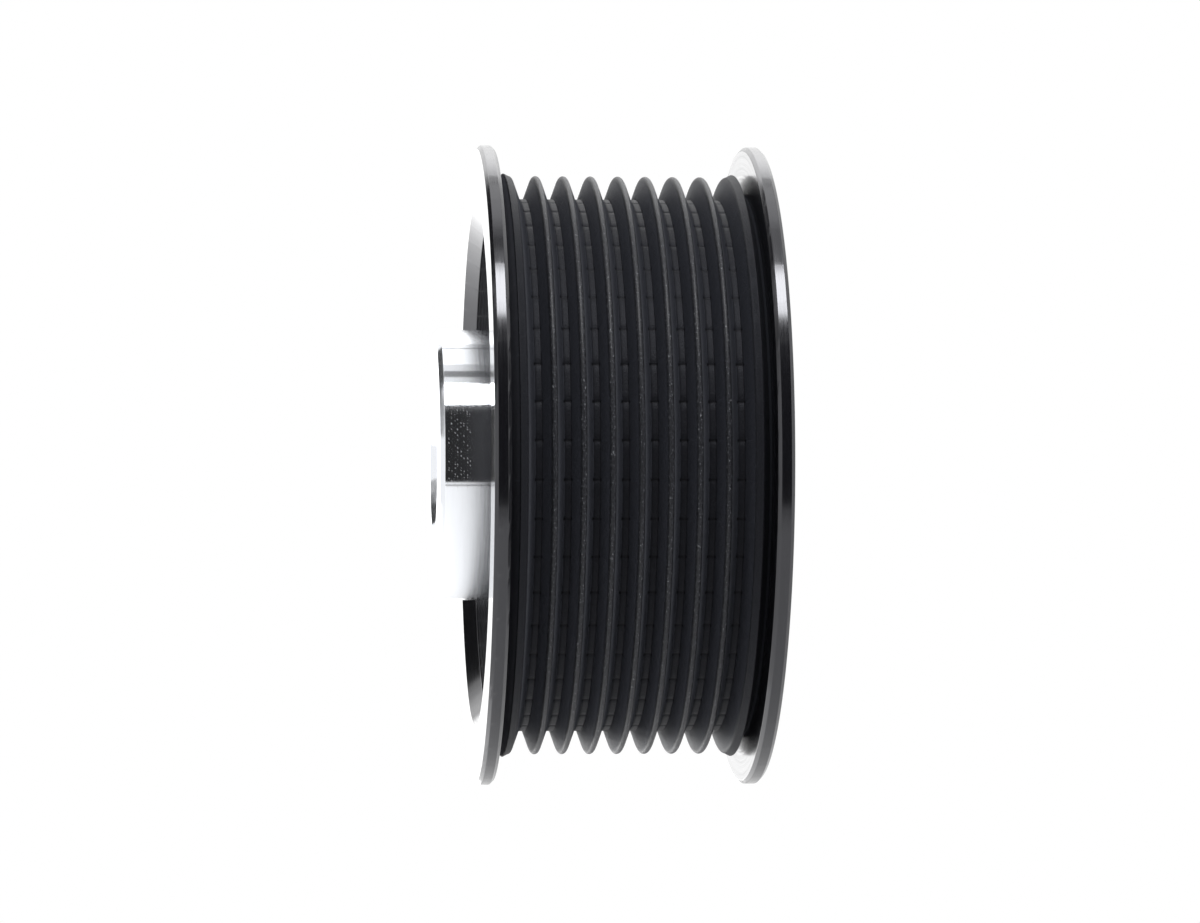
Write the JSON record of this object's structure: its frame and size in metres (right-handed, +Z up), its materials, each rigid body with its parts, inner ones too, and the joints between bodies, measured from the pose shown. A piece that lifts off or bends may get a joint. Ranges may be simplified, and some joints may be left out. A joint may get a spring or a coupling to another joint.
{
  "type": "ribbed belt pulley",
  "caption": "Flanged pulley for a ribbed belt: a black turned body with V grooves between two flanges, and a bright hub with a shaft bore standing out of its dished front face.",
  "frame": {"origin": "on the bore's axis, in the middle plane of the belt ribs", "axes": "+Y along the bore from the hub side to the open rear, +Z up, the wheel turns about Y"},
  "size_m": [0.0826, 0.0419, 0.0826],
  "materials": {
    "black_anodised": "black anodised, glossy on the flanges and finely textured in the grooves",
    "bright_steel": "bright turned"
  },
  "bodies": {
    "root": {"ribbed_rim": "black_anodised", "hub": "bright_steel"}
  },
  "joints": []
}
